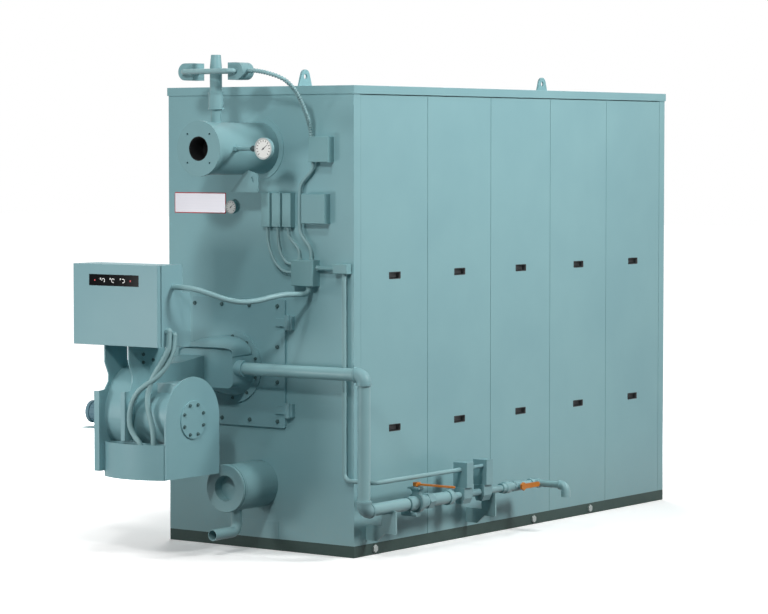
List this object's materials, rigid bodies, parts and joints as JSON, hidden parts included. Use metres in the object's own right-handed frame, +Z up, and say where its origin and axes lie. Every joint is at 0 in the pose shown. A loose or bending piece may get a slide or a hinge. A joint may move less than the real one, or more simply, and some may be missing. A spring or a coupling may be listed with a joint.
{
  "type": "packaged watertube boiler",
  "caption": "Floor-standing packaged watertube boiler with panelled casing, forced-draught gas burner, drum connections, control cabinet and side gas train.",
  "frame": {"origin": "on the floor, in the middle of the casing's footprint", "axes": "+X to the right seen from the burner end, +Y to the back, +Z up"},
  "size_m": [1.931, 4.448, 2.873],
  "materials": {
    "teal_paint": "satin",
    "orange_paint": "satin",
    "dark_display": "gloss",
    "zinc_plate": "satin"
  },
  "bodies": {
    "boiler": {"air_duct": "teal_paint", "base_frame": "teal_paint", "boiler_core": "teal_paint", "burner_conduits": "teal_paint", "burner_end_plate": "teal_paint", "burner_mounting_plate": "teal_paint", "cabinet_back_box": "teal_paint", "cabinet_conduit": "teal_paint", "cabinet_mounting_plate": "zinc_plate", "conduit_elbow_body": "teal_paint", "control_cabinet": "teal_paint", "corner_strips": "teal_paint", "drain_pipe": "teal_paint", "drum_bracket": "teal_paint", "fan_motor": "teal_paint", "fan_scroll": "teal_paint", "fan_side_plates": "teal_paint", "flue_collar": "teal_paint", "front_tray": "teal_paint", "front_wall": "teal_paint", "gas_down_pipe": "teal_paint", "gas_elbows": "teal_paint", "gas_front_pipe": "teal_paint", "gas_inlet": "teal_paint", "gas_train_conduit": "teal_paint", "gas_train_pipes": "teal_paint", "inlet_ball_valve": "teal_paint", "inlet_casing": "teal_paint", "inlet_cover": "teal_paint", "junction_boxes": "teal_paint", "left_side_panels": "teal_paint", "lifting_lugs": "teal_paint", "lower_drum": "teal_paint", "main_gas_valve": "teal_paint", "motor_shelf": "teal_paint", "pipe_brackets": "teal_paint", "plate_hinges": "teal_paint", "pressure_gauge": "teal_paint", "rear_wall": "teal_paint", "relay_boxes": "teal_paint", "relay_conduits": "teal_paint", "right_side_panels": "teal_paint", "riser_fitting": "teal_paint", "roof_cap": "teal_paint", "safety_valves": "teal_paint", "switch_conduit": "teal_paint", "switch_heads": "teal_paint", "switch_link_conduit": "teal_paint", "thermometer": "teal_paint", "upper_drum": "teal_paint", "valve_actuators": "teal_paint", "windbox": "teal_paint"},
    "cabinet_door": {"cabinet_door": "teal_paint", "display_panel": "dark_display"},
    "main_gas_valve_lever": {"main_gas_valve_lever": "orange_paint"},
    "inlet_valve_lever": {"inlet_valve_lever": "orange_paint"}
  },
  "joints": [
    {"name": "cabinet_door_hinge", "type": "hinge", "parent": "boiler", "child": "cabinet_door", "pos_m": [-0.706, -2.534, 1.453], "axis": [0, 0, -1], "range_deg": [0, 110]},
    {"name": "main_gas_valve_turn", "type": "hinge", "parent": "boiler", "child": "main_gas_valve_lever", "pos_m": [0.851, -1.332, 0.392], "axis": [0, 0, 1], "range_deg": [0, 90]},
    {"name": "inlet_valve_turn", "type": "hinge", "parent": "boiler", "child": "inlet_valve_lever", "pos_m": [0.901, -0.3, 0.294], "axis": [1, 0, 0], "range_deg": [0, 90]}
  ]
}
